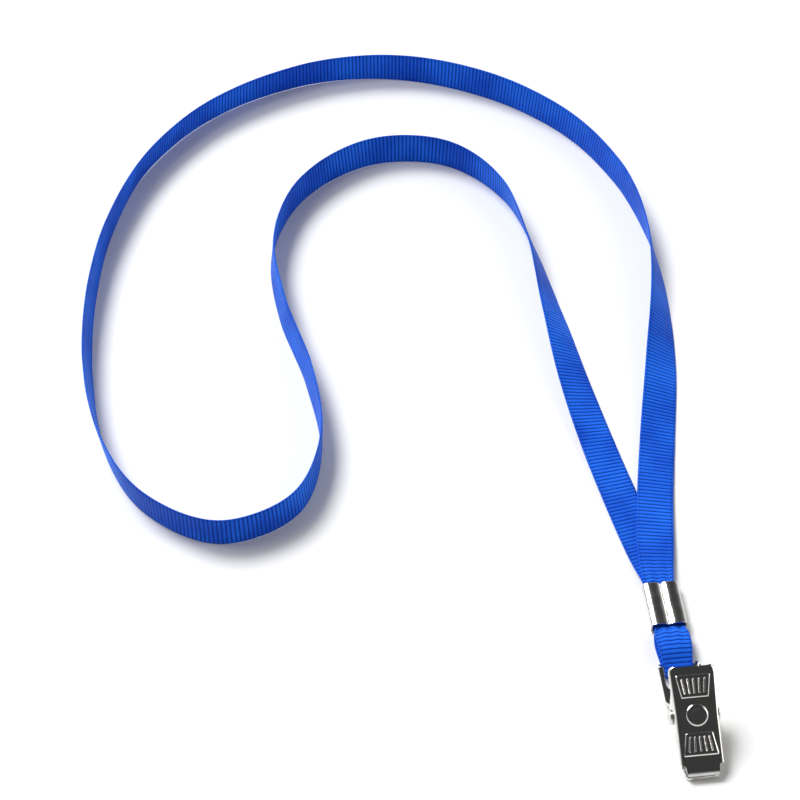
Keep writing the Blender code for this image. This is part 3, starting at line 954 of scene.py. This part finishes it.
def make_spring(look):
    """The coil with its lower leg, on the clip, and its upper leg, on the jaw.

    The upper leg's piece starts with LEG_ARC of the coil's own circle, so that it never leaves the coil
    as the jaw opens.
    """
    pivot = pivot_point()
    clear = SHEET / 2 + GAP + WIRE_RADIUS
    leg_along = PIVOT_ALONG + LEG_REACH
    low_end = lever_frame() @ Vector((-COIL_HALF, leg_along, clear))
    high_end = short_lever_frame() @ Vector((COIL_HALF, leg_along, clear))

    def tangent_angle(end, sign):
        away = Vector((end.y - pivot.y, end.z - pivot.z))
        return atan2(away.y, away.x) + sign * (pi / 2 - asin(COIL_RADIUS / away.length))

    first, last = tangent_angle(low_end, -1), tangent_angle(high_end, 1)
    while last > first:
        last -= tau
    sweep = last - first - tau * COIL_TURNS

    def on_coil(share, aside=0.0):
        turn = first + sweep * share
        across = -COIL_HALF + 2 * COIL_HALF * share + aside
        return Vector((across, pivot.y + COIL_RADIUS * cos(turn), pivot.z + COIL_RADIUS * sin(turn)))

    count = COIL_SIDES * COIL_TURNS
    coil = wire("clip_spring_coil", [low_end] + [on_coil(k / count) for k in range(count + 1)], look)
    overlap = LEG_ARC / abs(sweep)
    arc = [on_coil(1 - overlap * (1 - k / LEG_ARC_STEPS), 0.02 * MM) for k in range(LEG_ARC_STEPS + 1)]
    leg = wire("clip_spring_upper_leg", arc + [high_end], look)
    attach(coil, "clip")
    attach(leg, "jaw")
    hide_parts("torsion_spring")


def crimp_profile():
    """The folded crimp's section from its seam round to the middle of its back, for x above 0."""
    half = CRIMP_WIDTH / 2 - CRIMP_SHEET / 2
    base = CRIMP_SHEET / 2
    bar = (half - CRIMP_SEAM) / 2
    bar_steps, bend_steps = 16, 6
    out = [(CRIMP_SEAM, SEAM_MID - 0.22 * MM)]
    for k in range(bar_steps + 1):
        turn = pi * k / bar_steps
        out.append((CRIMP_SEAM + bar - bar * cos(turn), SEAM_MID + CRIMP_CREST * sin(turn)))
    out.append((half, base + CRIMP_BEND + 0.4 * MM))
    for k in range(bend_steps + 1):
        turn = pi / 2 * k / bend_steps
        x = half - CRIMP_BEND + CRIMP_BEND * cos(turn)
        out.append((x, base + CRIMP_BEND - CRIMP_BEND * sin(turn)))
    out += [(half * share, base) for share in (0.7, 0.5, 0.25, 0.0)]
    return out


def make_crimp(look):
    """The crimp: a flat back on the table, two rounded bars that meet at a seam, and slight press marks."""
    half_profile = crimp_profile()
    section = half_profile + [(-x, z) for x, z in reversed(half_profile[:-1])]
    points, faces = [], []
    for i in range(CRIMP_ROWS + 1):
        y = CRIMP_START_Y + CRIMP_LENGTH * i / CRIMP_ROWS
        from_end = min(i, CRIMP_ROWS - i) / CRIMP_ROWS * CRIMP_LENGTH
        for x, z in section:
            upper = smooth((z - SEAM_MID) / (0.3 * MM))
            mark = PRESS_MARK * upper * (0.5 - 0.5 * cos(tau * PRESS_MARKS * i / CRIMP_ROWS))
            mark *= smooth(from_end / (1.5 * MM))
            ding = DING * noise.noise((x * 300, y * 160, 2.0)) * upper
            points.append(Vector((x, y, z - mark + ding)))
    count = len(section)
    for i in range(CRIMP_ROWS):
        here, beyond = i * count, (i + 1) * count
        for k in range(count - 1):
            faces.append((here + k, here + k + 1, beyond + k + 1, beyond + k))
    made = mesh_object("crimp_shell", points, faces, look)
    make_sheet_solid(made, CRIMP_SHEET, 0.08 * MM)
    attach(made, "strap")
    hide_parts("crimp_sleeve")


# ---- stage ------------------------------------------------------------------------------------------


def make_camera():
    """The camera, at the photograph's viewing angle."""
    azimuth, elevation = radians(VIEW_AZIMUTH), radians(VIEW_ELEVATION)
    away = Vector((sin(azimuth) * cos(elevation), -cos(azimuth) * cos(elevation), sin(elevation)))
    data = bpy.data.cameras.new("camera")
    data.lens = VIEW_LENS
    data.clip_start = 0.01
    camera = bpy.data.objects.new("camera", data)
    target = Vector(VIEW_TARGET)
    camera.location = target + away * VIEW_DISTANCE
    camera.rotation_euler = (-away).to_track_quat("-Z", "Y").to_euler()
    bpy.context.scene.collection.objects.link(camera)
    bpy.context.scene.camera = camera


def area_light(name, place, aim, size, power, colour):
    """A soft rectangular light at a place, turned towards its aim."""
    data = bpy.data.lights.new(name, "AREA")
    data.shape = "RECTANGLE"
    data.size, data.size_y = size
    data.energy = power
    data.color = colour
    lamp = bpy.data.objects.new(name, data)
    lamp.location = place
    lamp.rotation_euler = (Vector(aim) - Vector(place)).to_track_quat("-Z", "Y").to_euler()
    bpy.context.scene.collection.objects.link(lamp)


def make_room():
    """A room that is bright near its walls and dark overhead, so that polished metal has both to reflect."""
    world = bpy.data.worlds.new("room")
    world.use_nodes = True
    tree = world.node_tree
    place = tree.nodes.new("ShaderNodeTexCoord")
    split = tree.nodes.new("ShaderNodeSeparateXYZ")
    ramp = tree.nodes.new("ShaderNodeValToRGB")
    while len(ramp.color_ramp.elements) < len(ROOM_STOPS):
        ramp.color_ramp.elements.new(0.5)
    for element, (position, grey) in zip(ramp.color_ramp.elements, ROOM_STOPS):
        element.position = position
        element.color = (*(grey * tint for tint in ROOM_TINT), 1.0)
    tree.links.new(place.outputs["Generated"], split.inputs[0])
    tree.links.new(split.outputs["Z"], ramp.inputs["Fac"])
    tree.links.new(ramp.outputs["Color"], tree.nodes["Background"].inputs["Color"])
    bpy.context.scene.world = world


def make_stage():
    """A plain pale table, soft daylight with a key, a fill and a rim light, and a grey room."""
    signs = ((-1, -1), (1, -1), (1, 1), (-1, 1))
    corners = [(TABLE_HALF * x, TABLE_HALF * y, 0.0) for x, y in signs]
    floor = mesh_object("table", corners, [(0, 1, 2, 3)], table_material())
    floor.location.z = min(CAD_BOX[0][2], 0.0) - TABLE_CLEARANCE
    for settings in AREA_LIGHTS:
        area_light(*settings)
    sun = bpy.data.lights.new("daylight", "SUN")
    sun.energy = DAYLIGHT_STRENGTH
    sun.angle = DAYLIGHT_SPREAD
    lamp = bpy.data.objects.new("daylight", sun)
    lamp.rotation_euler = DAYLIGHT_TURN
    bpy.context.scene.collection.objects.link(lamp)
    make_room()
    bpy.context.scene.view_settings.view_transform = "Standard"


# ---- assembly ---------------------------------------------------------------------------------------

make_camera()
ribbon_look = grosgrain_material()
nickel_look = metal_material("nickel_plate", (0.80, 0.79, 0.77), (0.62, 0.58, 0.50), 0.10, 0.08)
rivet_look = metal_material("rivet_steel", (0.78, 0.77, 0.75), (0.58, 0.54, 0.47), 0.16, 0.10)
spring_look = metal_material("spring_steel", (0.70, 0.60, 0.42), (0.45, 0.36, 0.24), 0.24, 0.12)

make_strap(ribbon_look)
make_clip_loop(ribbon_look)
make_crimp(nickel_look)
make_levers(nickel_look)
make_rivet(rivet_look)
make_spring(spring_look)
make_stage()
